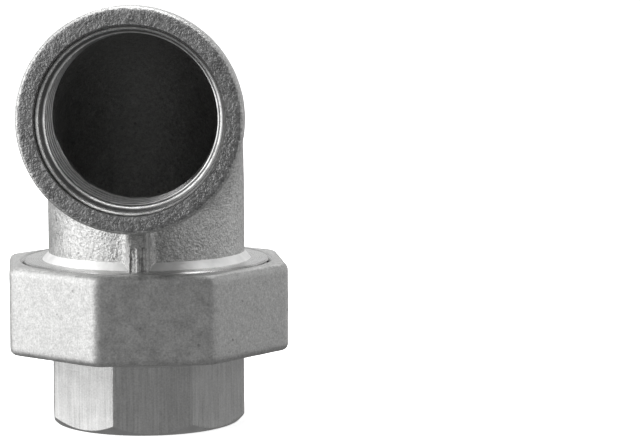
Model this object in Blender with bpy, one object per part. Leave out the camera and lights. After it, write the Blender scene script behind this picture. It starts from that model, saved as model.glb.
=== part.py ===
"""Union elbow, 90 degrees, female threads at both ends, for one-inch pipe.

The fitting is made of its four separate pieces: the elbow body with the male union thread, the
tailpiece that stands under it, the gasket between their seats, and the octagonal union nut that
draws them together. Metres, +Z up. The union axis is vertical, the outlet faces -Y, and the
tailpiece's end face lies on z = 0.
"""

import math
from dataclasses import dataclass

import bmesh
import bpy
from mathutils import Matrix, Vector

MM = 0.001

# Facets of every round surface, and of the bend from its start to its end.
ROUND_FACETS = 36
BEND_FACETS = 10

# How far a cutter runs past what it cuts, and how near two vertices are one.
OVERSHOOT = 1.0 * MM
MERGE_DISTANCE = 0.0001 * MM

# Clearances: between pieces that touch, and between the two halves of the union thread.
SEAT_GAP = 0.3 * MM
THREAD_GAP = 0.3 * MM

# Parallel pipe threads: one-inch in the sockets, one-and-a-half-inch at the union.
PITCH = 2.309 * MM
PIPE_MAJOR_R = 16.62 * MM
PIPE_MINOR_R = 15.3 * MM
UNION_MAJOR_R = 23.9 * MM
UNION_MINOR_R = 22.42 * MM
SOCKET_DEPTH = 15.5 * MM
MOUTH_CHAMFER = 0.8 * MM
TAIL_MOUTH_CHAMFER = 0.3 * MM
THREAD_FADE = 0.5 * PITCH

# Waterway and the cast tube around it.
WATERWAY_R = 15.6 * MM
TUBE_R = 19.2 * MM
BEND_R = 20.0 * MM

# Outlet: its axis height, its face's distance from the union axis, and the band round its end.
OUTLET_Z = 61.5 * MM
OUTLET_REACH = 37.5 * MM
BAND_R = 20.75 * MM
BAND_WIDTH = 7.0 * MM
BAND_EDGE = 0.8 * MM
BAND_STEP = 1.0 * MM

# Web in the throat, between the collar and the outlet.
WEB_WIDTH = 4.6 * MM
WEB_FOOT_REACH = 21.6 * MM
WEB_HEAD_REACH = 31.5 * MM
WEB_ROOT = 1.0 * MM
WEB_FACETS = 6

# Octagons of the nut and of the tailpiece, by their corner radius. Both are turned alike.
OCTAGON_SIDES = 8
OCTAGON_TURN = math.radians(-60.0)
NUT_CORNER_R = 29.05 * MM
NUT_BOTTOM = 14.7 * MM
NUT_TOP = 31.9 * MM
NUT_SOFTENING = 0.9 * MM
NUT_LIP = 4.0 * MM
NUT_LIP_R = 21.6 * MM
NUT_RELIEF = 2.2 * MM
NUT_MOUTH_CHAMFER = 0.7 * MM

TAIL_CORNER_R = 19.95 * MM
TAIL_FACE_R = 18.1 * MM
TAIL_OCTAGON_TOP = 13.7 * MM
TAIL_SHOULDER_R = 21.2 * MM
TAIL_COLLAR_R = 22.5 * MM
TAIL_COLLAR = 3.4 * MM

GASKET_INNER_R = 16.0 * MM
GASKET_OUTER_R = 21.5 * MM
GASKET_THICKNESS = 1.8 * MM

# Elbow collar: its top plane, the chamfer over its thread, and the cone up to the tube.
COLLAR_TOP = 32.0 * MM
COLLAR_CHAMFER = 0.6 * MM
CONE_R = 20.4 * MM
CONE_HEIGHT = 1.5 * MM

# Heights that follow from the stack of pieces.
NUT_SEAT = NUT_BOTTOM + NUT_LIP
TAIL_COLLAR_BOTTOM = NUT_SEAT + SEAT_GAP
TAIL_SEAT = TAIL_COLLAR_BOTTOM + TAIL_COLLAR
GASKET_BOTTOM = TAIL_SEAT + SEAT_GAP
GASKET_TOP = GASKET_BOTTOM + GASKET_THICKNESS
ELBOW_SEAT = GASKET_TOP + SEAT_GAP

# The box of the whole fitting is centred on the origin, so the union axis lies behind it.
NUT_REACH = NUT_CORNER_R * max(
    math.sin(OCTAGON_TURN + math.tau * i / OCTAGON_SIDES) for i in range(OCTAGON_SIDES)
)
UNION_AXIS = Vector((0, (OUTLET_REACH - NUT_REACH) / 2, 0))

CAST_STEEL = ("cast_steel", (0.50, 0.50, 0.49), 0.55, 0.9)
MACHINED_STEEL = ("machined_steel", (0.56, 0.56, 0.55), 0.35, 1.0)
NUT_STEEL = ("nut_steel", (0.46, 0.46, 0.45), 0.55, 0.9)
WHITE_PLASTIC = ("white_plastic", (0.85, 0.84, 0.80), 0.5, 0.0)


@dataclass
class Thread:
    """A threaded stretch: its two end heights, the radii there, and the radii along one pitch."""

    bottom: float
    top: float
    bottom_r: float
    top_r: float
    radii: tuple


def clear_scene():
    for item in list(bpy.data.objects):
        bpy.data.objects.remove(item, do_unlink=True)


def make_material(name, colour, roughness, metallic):
    material = bpy.data.materials.new(name)
    material.use_nodes = True
    shader = material.node_tree.nodes["Principled BSDF"]
    shader.inputs["Base Color"].default_value = (*colour, 1)
    shader.inputs["Roughness"].default_value = roughness
    shader.inputs["Metallic"].default_value = metallic
    return material


def make_object(name, bm):
    """An object on the union axis from a bmesh in that axis's own coordinates."""
    bmesh.ops.remove_doubles(bm, verts=bm.verts, dist=MERGE_DISTANCE)
    mesh = bpy.data.meshes.new(name)
    bm.to_mesh(mesh)
    bm.free()
    made = bpy.data.objects.new(name, mesh)
    made.location = UNION_AXIS
    bpy.context.scene.collection.objects.link(made)
    return made


def finish(made, material):
    """Gives a piece its material and smooth shading with sharp edges kept."""
    made.data.materials.append(make_material(*material))
    made.data.shade_smooth()
    made.data.set_sharp_from_angle(angle=math.radians(30))


def combine(target, operation, other):
    """Adds, cuts or intersects another shape, which stays in the scene as a hidden helper."""
    other.hide_render = True
    other.display_type = "WIRE"
    boolean = target.modifiers.new(other.name, "BOOLEAN")
    boolean.operation = operation
    boolean.object = other
    boolean.solver = "EXACT"


def upright(height):
    """The place of a ring on the union axis."""
    return Matrix.Translation((0, 0, height))


def in_bend(turn):
    """The place of a ring in the bend, where turn runs from 0 at its foot to a right angle."""
    centre = (0, BEND_R * (math.cos(turn) - 1), OUTLET_Z - BEND_R + BEND_R * math.sin(turn))
    return Matrix.Translation(centre) @ Matrix.Rotation(turn, 4, "X")


def in_outlet(reach):
    """The place of a ring on the outlet's axis, by its distance from the union axis."""
    return Matrix.Translation((0, -reach, OUTLET_Z)) @ Matrix.Rotation(math.pi / 2, 4, "X")


def bend(radius):
    turns = (math.pi / 2 * i / BEND_FACETS for i in range(BEND_FACETS + 1))
    return [(radius, in_bend(turn)) for turn in turns]


def add_vertex(bm, place, radius, angle, height=0.0):
    local = Vector((radius * math.cos(angle), radius * math.sin(angle), height))
    return bm.verts.new(place @ local)


def add_ring(bm, radius, place):
    angles = (math.tau * i / ROUND_FACETS for i in range(ROUND_FACETS))
    return [add_vertex(bm, place, radius, angle) for angle in angles]


def join_rings(bm, lower, upper):
    count = len(lower)
    for i in range(count):
        j = (i + 1) % count
        bm.faces.new((lower[i], lower[j], upper[j], upper[i]))


def thread_radius(height, nominal, thread):
    """The radius at a height, which runs out to the end rings' radii over THREAD_FADE."""
    low_share = max(0, 1 - (height - thread.bottom) / THREAD_FADE)
    high_share = max(0, 1 - (thread.top - height) / THREAD_FADE)
    plain = nominal * (1 - low_share - high_share)
    return plain + thread.bottom_r * low_share + thread.top_r * high_share


def add_thread(bm, thread, place):
    """A right-hand helix between two plain rings, which it returns.

    Every thread starts its first turn at height zero, so a male and a female thread of one pitch
    are in mesh.
    """
    steps = len(thread.radii)
    first_turn = math.floor(thread.bottom / PITCH) - 1
    levels = math.ceil((thread.top / PITCH - first_turn) * steps)
    columns = []
    for i in range(ROUND_FACETS):
        column = []
        for k in range(levels + 1):
            height = PITCH * (first_turn + k / steps + i / ROUND_FACETS)
            height = min(max(height, thread.bottom), thread.top)
            radius = thread_radius(height, thread.radii[k % steps], thread)
            column.append(add_vertex(bm, place, radius, math.tau * i / ROUND_FACETS, height))
        columns.append(column)
    # After a full turn the helix meets the first column one pitch higher up.
    columns.append([columns[0][min(k + steps, levels)] for k in range(levels + 1)])
    for left, right in zip(columns, columns[1:]):
        for k in range(levels):
            corners = (left[k], right[k], right[k + 1], left[k + 1])
            if right[k] != right[k + 1]:
                bm.faces.new(corners)
            else:
                bm.faces.new(corners[:2] + corners[3:])
    return [column[0] for column in columns[:-1]], [column[-1] for column in columns[:-1]]


def turned(name, sections):
    """A closed solid from its first section to its last, each a radius or a thread, and its place."""
    bm = bmesh.new()
    last = None
    for shape, place in sections:
        if isinstance(shape, Thread):
            lower, upper = add_thread(bm, shape, place)
        else:
            lower = upper = add_ring(bm, shape, place)
        if last is None:
            bm.faces.new(reversed(lower))
        else:
            join_rings(bm, last, lower)
        last = upper
    bm.faces.new(last)
    return make_object(name, bm)


def female_thread(bottom, top, major_r, minor_r):
    return Thread(bottom, top, major_r, major_r, (major_r, major_r, minor_r, minor_r))


def male_thread(bottom, top, major_r, minor_r):
    return Thread(bottom, top, minor_r, major_r, (major_r, major_r, minor_r, minor_r))


def prism(name, outline, low, high, place=None):
    """A flat outline extruded along +Z."""
    bm = bmesh.new()
    bottom = [bm.verts.new((x, y, low)) for x, y in outline]
    top = [bm.verts.new((x, y, high)) for x, y in outline]
    bm.faces.new(reversed(bottom))
    bm.faces.new(top)
    join_rings(bm, bottom, top)
    if place is not None:
        bm.transform(place)
    return make_object(name, bm)


def octagon(corner_r):
    angles = (OCTAGON_TURN + math.tau * i / OCTAGON_SIDES for i in range(OCTAGON_SIDES))
    return [(corner_r * math.cos(angle), corner_r * math.sin(angle)) for angle in angles]


def throat_web():
    """The web under the outlet: its front edge curves out from the collar to the outlet's tube."""
    foot = COLLAR_TOP - WEB_ROOT
    head = OUTLET_Z - TUBE_R
    outline = [(TUBE_R - WEB_ROOT, head + WEB_ROOT), (TUBE_R - WEB_ROOT, foot), (WEB_FOOT_REACH, foot)]
    for i in range(WEB_FACETS + 1):
        turn = math.pi / 2 * i / WEB_FACETS
        reach = WEB_FOOT_REACH + (WEB_HEAD_REACH - WEB_FOOT_REACH) * (1 - math.cos(turn))
        outline.append((reach, COLLAR_TOP + (head - COLLAR_TOP) * math.sin(turn)))
    outline.append((WEB_HEAD_REACH, head + WEB_ROOT))
    # The outline lies in the plane of the two axes: its (reach, height) becomes (-y, z).
    upright_plane = Matrix(((0, 0, 1, 0), (-1, 0, 0, 0), (0, 1, 0, 0), (0, 0, 0, 1)))
    return prism("web_helper", outline, -WEB_WIDTH / 2, WEB_WIDTH / 2, upright_plane)


def make_elbow_body():
    thread_bottom = ELBOW_SEAT + COLLAR_CHAMFER
    thread_top = COLLAR_TOP - COLLAR_CHAMFER
    body = turned(
        "elbow_body",
        [
            (UNION_MINOR_R - COLLAR_CHAMFER, upright(ELBOW_SEAT)),
            (male_thread(thread_bottom, thread_top, UNION_MAJOR_R, UNION_MINOR_R), upright(0)),
            (UNION_MAJOR_R - COLLAR_CHAMFER, upright(COLLAR_TOP)),
            (CONE_R, upright(COLLAR_TOP)),
            (TUBE_R, upright(COLLAR_TOP + CONE_HEIGHT)),
            *bend(TUBE_R),
            (TUBE_R, in_outlet(OUTLET_REACH - BAND_WIDTH - BAND_STEP)),
            (BAND_R, in_outlet(OUTLET_REACH - BAND_WIDTH)),
            (BAND_R, in_outlet(OUTLET_REACH - BAND_EDGE)),
            (BAND_R - BAND_EDGE, in_outlet(OUTLET_REACH)),
        ],
    )
    socket_bottom = OUTLET_REACH - SOCKET_DEPTH
    socket_top = OUTLET_REACH - MOUTH_CHAMFER
    waterway = turned(
        "elbow_waterway_cutter",
        [
            (WATERWAY_R, upright(ELBOW_SEAT - OVERSHOOT)),
            *bend(WATERWAY_R),
            (WATERWAY_R, in_outlet(socket_bottom - MOUTH_CHAMFER)),
            (female_thread(socket_bottom, socket_top, PIPE_MAJOR_R, PIPE_MINOR_R), in_outlet(0)),
            (PIPE_MAJOR_R + 2 * MOUTH_CHAMFER, in_outlet(OUTLET_REACH + MOUTH_CHAMFER)),
        ],
    )
    combine(body, "UNION", throat_web())
    combine(body, "DIFFERENCE", waterway)
    finish(body, CAST_STEEL)


def make_union_nut():
    nut = prism("union_nut", octagon(NUT_CORNER_R), NUT_BOTTOM, NUT_TOP)
    soften = nut.modifiers.new("softened_edges", "BEVEL")
    soften.width = NUT_SOFTENING
    soften.segments = 2
    major_r = UNION_MAJOR_R + THREAD_GAP
    minor_r = UNION_MINOR_R + THREAD_GAP
    thread_bottom = NUT_SEAT + NUT_RELIEF
    thread_top = NUT_TOP - NUT_MOUTH_CHAMFER
    bore = turned(
        "nut_bore_cutter",
        [
            (NUT_LIP_R, upright(NUT_BOTTOM - OVERSHOOT)),
            (NUT_LIP_R, upright(NUT_SEAT)),
            (major_r, upright(NUT_SEAT)),
            (female_thread(thread_bottom, thread_top, major_r, minor_r), upright(0)),
            (major_r + 2 * NUT_MOUTH_CHAMFER, upright(NUT_TOP + NUT_MOUTH_CHAMFER)),
        ],
    )
    combine(nut, "DIFFERENCE", bore)
    finish(nut, NUT_STEEL)


def make_tailpiece():
    tail = prism("tailpiece", octagon(TAIL_CORNER_R), 0, TAIL_OCTAGON_TOP + OVERSHOOT)
    chamfer_rise = TAIL_CORNER_R - TAIL_FACE_R
    envelope = turned(
        "tail_chamfer_helper",
        [
            (TAIL_FACE_R - OVERSHOOT, upright(-OVERSHOOT)),
            (TAIL_CORNER_R + OVERSHOOT, upright(chamfer_rise + OVERSHOOT)),
            (TAIL_CORNER_R + OVERSHOOT, upright(TAIL_OCTAGON_TOP + 2 * OVERSHOOT)),
        ],
    )
    shoulder = turned(
        "tail_shoulder_helper",
        [
            (TAIL_SHOULDER_R, upright(TAIL_OCTAGON_TOP)),
            (TAIL_SHOULDER_R, upright(TAIL_COLLAR_BOTTOM)),
            (TAIL_COLLAR_R, upright(TAIL_COLLAR_BOTTOM)),
            (TAIL_COLLAR_R, upright(TAIL_SEAT)),
        ],
    )
    waterway = turned(
        "tail_waterway_cutter",
        [
            (PIPE_MAJOR_R + 2 * TAIL_MOUTH_CHAMFER, upright(-TAIL_MOUTH_CHAMFER)),
            (
                female_thread(TAIL_MOUTH_CHAMFER, SOCKET_DEPTH, PIPE_MAJOR_R, PIPE_MINOR_R),
                upright(0),
            ),
            (WATERWAY_R, upright(SOCKET_DEPTH + MOUTH_CHAMFER)),
            (WATERWAY_R, upright(TAIL_SEAT + OVERSHOOT)),
        ],
    )
    combine(tail, "INTERSECT", envelope)
    combine(tail, "UNION", shoulder)
    combine(tail, "DIFFERENCE", waterway)
    finish(tail, MACHINED_STEEL)


def make_seat_gasket():
    bm = bmesh.new()
    profile = (
        (GASKET_OUTER_R, GASKET_BOTTOM),
        (GASKET_OUTER_R, GASKET_TOP),
        (GASKET_INNER_R, GASKET_TOP),
        (GASKET_INNER_R, GASKET_BOTTOM),
    )
    rings = [add_ring(bm, radius, upright(height)) for radius, height in profile]
    for i, ring in enumerate(rings):
        join_rings(bm, ring, rings[(i + 1) % len(rings)])
    finish(make_object("seat_gasket", bm), WHITE_PLASTIC)


clear_scene()
make_tailpiece()
make_seat_gasket()
make_union_nut()
make_elbow_body()
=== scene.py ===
"""Looks of a cast and machined union elbow: body, union nut, tailpiece and gasket.

The shapes are made round the union axis, in metres, with +Z from the tailpiece to the elbow and
the outlet towards -Y. They fill the space of the frame's solids and add the cast skin, the fine
threads and the finishes.
"""

import math

import bmesh
import bpy
import numpy as np
from bpy.props import FloatProperty, FloatVectorProperty, IntProperty, PointerProperty
from mathutils import Matrix, Vector, noise


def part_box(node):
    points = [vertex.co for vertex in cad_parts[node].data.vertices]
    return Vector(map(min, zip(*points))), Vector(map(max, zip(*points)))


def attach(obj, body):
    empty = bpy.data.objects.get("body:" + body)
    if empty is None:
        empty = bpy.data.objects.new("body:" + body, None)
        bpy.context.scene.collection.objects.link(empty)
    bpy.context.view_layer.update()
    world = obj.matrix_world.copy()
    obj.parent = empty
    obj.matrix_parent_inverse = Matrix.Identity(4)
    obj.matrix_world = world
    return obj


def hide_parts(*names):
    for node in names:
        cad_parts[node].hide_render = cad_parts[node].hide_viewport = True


bl_info = {
    "name": "Threaded union elbow",
    "version": (1, 0, 0),
    "blender": (4, 5, 0),
    "location": "3D View > Sidebar > Union elbow",
    "description": "Makes the visual model of a union elbow around its packed frame",
    "category": "Object",
}

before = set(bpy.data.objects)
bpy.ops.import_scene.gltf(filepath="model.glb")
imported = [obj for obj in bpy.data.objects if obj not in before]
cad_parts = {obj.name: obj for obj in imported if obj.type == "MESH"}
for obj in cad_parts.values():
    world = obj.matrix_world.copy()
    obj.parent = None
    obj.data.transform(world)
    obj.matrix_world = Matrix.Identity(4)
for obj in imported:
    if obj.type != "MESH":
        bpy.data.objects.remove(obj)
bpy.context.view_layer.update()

MM = 0.001
EIGHTH_TURN = math.pi / 4
ROUND_SEGMENTS = 144
SHARP_ANGLE = math.radians(30)

# A cutter reaches past the faces that it cuts, and a socket's cutter ends a little inside the
# waterway's, so that no two surfaces coincide.
REACH_PAST = MM
SHORT_REACH_PAST = 0.5 * MM
INSET = 0.1 * MM

# The union axis stands in the middle of the gasket.
GASKET_LOW, GASKET_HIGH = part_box("seat_gasket")
UNION_AXIS = Vector(((GASKET_LOW.x + GASKET_HIGH.x) / 2, (GASKET_LOW.y + GASKET_HIGH.y) / 2, 0))
OUTLET_REACH = UNION_AXIS.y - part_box("elbow_body")[0].y
NUT_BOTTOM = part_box("union_nut")[0].z
NUT_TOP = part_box("union_nut")[1].z
TAIL_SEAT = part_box("tailpiece")[1].z
ELBOW_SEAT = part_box("elbow_body")[0].z

# Threads: one-inch pipe in the sockets, one-and-a-half-inch at the union.
PIPE_MAJOR_R = 16.62 * MM
PIPE_MINOR_R = 15.3 * MM
UNION_MAJOR_R = 23.9 * MM
UNION_MINOR_R = 22.42 * MM
UNION_CLEARANCE = 0.3 * MM
SOCKET_DEPTH = 15.5 * MM
MOUTH_CHAMFER = 0.8 * MM
TAIL_MOUTH_CHAMFER = 0.3 * MM

# The outlet's thread widens to its mouth, where a shallow cone leads the pipe in.
PIPE_TAPER = 1 / 32
LEAD_IN = 5.0 * MM

# Waterway and the cast tube around it.
WATERWAY_R = 15.6 * MM
WATERWAY_WAVINESS = 0.12 * MM
WAVE_SIZE = 2.5 * MM
BEND_R = 20.0 * MM
BEND_STEPS = 36
OUTLET_Z = 61.5 * MM
BEND_FOOT = OUTLET_Z - BEND_R
RISE_STEPS = 20
THROAT_FILLET = 2.5 * MM

# Band round the outlet. Its end face is rough as far in as this depth, where it still looks
# forwards, and has a small raised mark: its place across and up, and (radius, height) points.
BAND_WIDTH = 7.0 * MM
BAND_FILLET = 0.8 * MM
END_FACE_DEPTH = 0.2 * MM
END_FACE_NORMAL = -0.9
MARK_PLACE = (0.4 * MM, 18.6 * MM, 0)
MARK_SEGMENTS = 24
MARK_PROFILE = (
    (0.62 * MM, -0.5 * MM),
    (0.6 * MM, 0.02 * MM),
    (0.45 * MM, 0.14 * MM),
    (0.28 * MM, 0.12 * MM),
    (0.15 * MM, 0.02 * MM),
)

# Web in the throat. Its front edge is a quarter of an ellipse, from its foot on the collar to
# its head under the band. Behind that edge it fills a box, given by its middle and half size.
WEB_FOOT_REACH = 21.6 * MM
WEB_HEAD_REACH = 31.5 * MM
WEB_HEIGHT = 10.3 * MM
WEB_ROUNDING = 1.2 * MM
WEB_FILLET = 2.0 * MM
WEB_MIDDLE_REACH, WEB_HALF_REACH = 24.0 * MM, 9.0 * MM
WEB_MIDDLE_HEIGHT, WEB_HALF_HEIGHT = 38.0 * MM, 7.0 * MM

# A ridge between two hollows on the foot of that edge: place aside and radius at the foot.
LEFT_HOLLOW = (-1.15 * MM, 0.5 * MM)
RIGHT_HOLLOW = (1.05 * MM, 0.6 * MM)
RIDGE = (0.0, 0.5 * MM)
WEB_BAR_RINGS = 9
WEB_BAR_SEGMENTS = 12
WEB_BAR_START = -0.12
WEB_BAR_STEP = 0.07
WEB_BAR_THINNING = 0.09

# Collar with the male thread, and the cone up to the tube.
COLLAR_TOP = 32.0 * MM
COLLAR_CHAMFER = 0.3 * MM
CONE_R = 20.4 * MM
CONE_HEIGHT = 1.5 * MM
CONE_FOOT = 0.2 * MM

# Octagons. A corner stands this far round from the +X axis.
OCTAGON_TURN = math.radians(-60.0)
NUT_CORNER_ROUNDING = 0.9 * MM
NUT_LIP = 4.0 * MM
NUT_LIP_R = 21.6 * MM
NUT_LIP_EDGE = 0.35 * MM
NUT_RELIEF = 2.2 * MM
NUT_MOUTH_CHAMFER = 0.7 * MM

TAIL_CORNER_R = 19.95 * MM
TAIL_FACE_R = 18.1 * MM
TAIL_CHAMFER_RISE = 1.95 * MM
TAIL_OCTAGON_TOP = 13.7 * MM
TAIL_SHOULDER_R = 21.2 * MM
TAIL_COLLAR_R = 22.5 * MM
TAIL_COLLAR = 3.4 * MM
TAIL_EDGE = 0.15 * MM

GASKET_INNER_R = 16.0 * MM
GASKET_OUTER_R = 21.5 * MM
GASKET_EDGE = 0.25 * MM
GASKET_EDGE_STEPS = 3

# Threads, as shares of a pitch: where the crest stands, and how the flanks rise and level off.
CREST_SHIFT = 0.375
FLANK_SLOPE = 1.5
FLANK_START = -0.25
PLUG_END_ROWS = 2
MERGE_DISTANCE = 0.001 * MM

# Cast skins: the slope's sampling distance in cells, and how often points are moved and evened.
SLOPE_STEP = 0.05
SURFACE_MOVES = 3
EVENING_ROUNDS = 2
LEAST_SLOPE = 0.05

# Noise mostly runs over this span of its values.
NOISE_SPAN = (0.3, 0.7)

# Studio, in metres: a round floor that curves up into a wall.
FLOOR_R = 0.6
FLOOR_CURVE = 0.6
FLOOR_CURVE_STEPS = 12
FLOOR_SEGMENTS = 96
WALL_TOP = 1.4
LIGHT_TARGET = Vector((0, 0, 0.04))

# Each light's name, place, width and height, and the setting of its power.
LIGHTS = (
    ("Key light", (-0.5, -0.16, 0.16), (0.8, 0.8), "key_power"),
    ("Fill light", (0.5, 0.3, 0.12), (0.6, 0.5), "fill_power"),
    ("Front light", (0.5, -0.22, 0.14), (0.25, 0.35), "front_power"),
    ("Back light", (-0.1, 0.6, 0.25), (0.8, 0.4), "back_power"),
    ("Top light", (0.0, 0.1, 0.7), (0.7, 0.7), "top_power"),
)

# The camera stands a little to the right of straight ahead and above the outlet.
CAMERA_DISTANCE = 0.47405
CAMERA_HEIGHT = 0.09311
CAMERA_AZIMUTH = math.radians(4.62)
CAMERA_TILT = math.radians(83.49)
CAMERA_HEADING = math.radians(0.507)
CAMERA_SENSOR = 36
CAMERA_CLIP = (0.01, 10)


# -------- Settings


class UnionSizes(bpy.types.PropertyGroup):
    """Sizes of the visible shapes."""

    tube_radius: FloatProperty(
        name="Tube radius",
        description="Outer radius of the cast tube",
        default=19.2 * MM,
        subtype="DISTANCE",
    )
    band_radius: FloatProperty(
        name="Band radius",
        description="Outer radius of the band round the outlet",
        default=20.71 * MM,
        subtype="DISTANCE",
    )
    band_rounding: FloatProperty(
        name="Band rounding",
        description="How far the rounding of the band's edges reaches",
        default=1.3 * MM,
        subtype="DISTANCE",
    )
    web_width: FloatProperty(
        name="Web width",
        description="Thickness of the web in the throat",
        default=4.2 * MM,
        subtype="DISTANCE",
    )
    nut_corner_radius: FloatProperty(
        name="Nut corner radius",
        description="Distance from the nut's axis to its unrounded corners",
        default=29.05 * MM,
        subtype="DISTANCE",
    )
    nut_rounding: FloatProperty(
        name="Nut rounding",
        description="How far the rounding of the nut's top and bottom edges reaches",
        default=1.6 * MM,
        subtype="DISTANCE",
    )
    thread_pitch: FloatProperty(
        name="Thread pitch",
        description="Rise of every thread in one turn",
        default=2.309 * MM,
        subtype="DISTANCE",
    )
    skin_cell: FloatProperty(
        name="Skin cell",
        description="Cell size of the grid that the cast skins are meshed on",
        default=0.42 * MM,
        subtype="DISTANCE",
    )
    skin_waviness: FloatProperty(
        name="Skin waviness",
        description="Depth of the casting's slight unevenness",
        default=0.05 * MM,
        subtype="DISTANCE",
    )
    thread_segments: IntProperty(
        name="Thread segments", description="Segments round each thread", default=ROUND_SEGMENTS
    )
    thread_steps: IntProperty(
        name="Thread steps", description="Steps along one pitch of each thread", default=12
    )


class UnionFinishes(bpy.types.PropertyGroup):
    """Colours and grain of the finishes."""

    cast_colour: FloatVectorProperty(
        name="Cast steel",
        description="Colour of the shot-blasted casting",
        default=(0.53, 0.53, 0.525),
        subtype="COLOR",
    )
    nut_colour: FloatVectorProperty(
        name="Cast nut",
        description="Colour of the nut's shot-blasted skin",
        default=(0.5, 0.5, 0.495),
        subtype="COLOR",
    )
    face_colour: FloatVectorProperty(
        name="Outlet face",
        description="Colour of the outlet's rough end face",
        default=(0.29, 0.29, 0.29),
        subtype="COLOR",
    )
    inside_colour: FloatVectorProperty(
        name="Inside",
        description="Colour of the as-cast waterway",
        default=(0.42, 0.42, 0.415),
        subtype="COLOR",
    )
    turned_colour: FloatVectorProperty(
        name="Turned steel",
        description="Colour of the turned and milled faces",
        default=(0.58, 0.58, 0.575),
        subtype="COLOR",
    )
    # The cone's colour is far lighter than the other turned steel. This is partly its turned finish
    # and partly a painted highlight, which keeps the ring at the tube's foot bright all round.
    cone_highlight_colour: FloatVectorProperty(
        name="Cone with painted highlight",
        description="Colour of the turned cone with its painted highlight at the tube's foot",
        default=(0.95, 0.95, 0.945),
        subtype="COLOR",
    )
    gasket_colour: FloatVectorProperty(
        name="Gasket",
        description="Colour of the gasket",
        default=(0.82, 0.81, 0.78),
        subtype="COLOR",
    )
    grain_size: FloatProperty(
        name="Grain size",
        description="Size of the shot-blasted dimples",
        default=0.32 * MM,
        subtype="DISTANCE",
    )
    grain_depth: FloatProperty(
        name="Grain depth",
        description="Depth of the shot-blasted dimples",
        default=0.05 * MM,
        subtype="DISTANCE",
    )


class UnionStudio(bpy.types.PropertyGroup):
    """Light, floor and camera."""

    key_power: FloatProperty(
        name="Key light", description="Power of the light on the left", default=4.7, unit="POWER"
    )
    fill_power: FloatProperty(
        name="Fill light",
        description="Power of the light behind on the right",
        default=0.65,
        unit="POWER",
    )
    top_power: FloatProperty(
        name="Top light", description="Power of the light overhead", default=5.5, unit="POWER"
    )
    front_power: FloatProperty(
        name="Front light",
        description="Power of the light at the front on the right",
        default=0.3,
        unit="POWER",
    )
    back_power: FloatProperty(
        name="Back light", description="Power of the light at the back", default=0.5, unit="POWER"
    )
    surround: FloatProperty(
        name="Surround", description="Brightness of the studio's dim surround", default=0.26
    )
    floor_colour: FloatVectorProperty(
        name="Floor",
        description="Colour of the floor",
        default=(0.9, 0.9, 0.9),
        subtype="COLOR",
    )
    floor_glow: FloatProperty(
        name="Floor glow", description="Brightness that the floor adds of its own", default=0.75
    )
    lens: FloatProperty(
        name="Lens", description="Focal length on a 36 mm sensor", default=136.54, unit="CAMERA"
    )


# -------- Threads, made with Geometry Nodes


class Nodes:
    """Adds nodes to a tree, and gives values or other nodes' outputs to their inputs."""

    def __init__(self, tree):
        self.tree = tree

    def give(self, socket, value):
        """Links an output to the socket, or sets a plain value on it."""
        if isinstance(value, bpy.types.NodeSocket):
            self.tree.links.new(value, socket)
        else:
            socket.default_value = value

    def new(self, kind, **given):
        """A node, with its named inputs given."""
        node = self.tree.nodes.new(kind)
        for name, value in given.items():
            self.give(node.inputs[name.replace("_", " ")], value)
        return node

    def do(self, operation, *values):
        """The output of one math operation."""
        node = self.new("ShaderNodeMath")
        node.operation = operation
        for socket, value in zip(node.inputs, values):
            self.give(socket, value)
        return node.outputs[0]

    def choose(self, mask, otherwise, chosen):
        """chosen where the mask is one, otherwise where it is zero."""
        return self.do("MULTIPLY_ADD", mask, self.do("SUBTRACT", chosen, otherwise), otherwise)

    def clamp(self, value, least, most):
        """The value, kept from least to most."""
        return self.do("MINIMUM", self.do("MAXIMUM", value, least), most)


# The plug's measures: radii, heights and lengths, and the taper as a slope.
THREAD_MEASURES = (
    "Major Radius",
    "Minor Radius",
    "Pitch",
    "Thread Bottom",
    "Thread Top",
    "Taper",
    "Run-out Below",
    "Run-out Above",
    "Run-out Radius Below",
    "Run-out Radius Above",
    "Bottom Height",
    "Bottom Radius",
    "Top Height",
    "Top Radius",
)
THREAD_COUNTS = ("Segments", "Steps")


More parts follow.
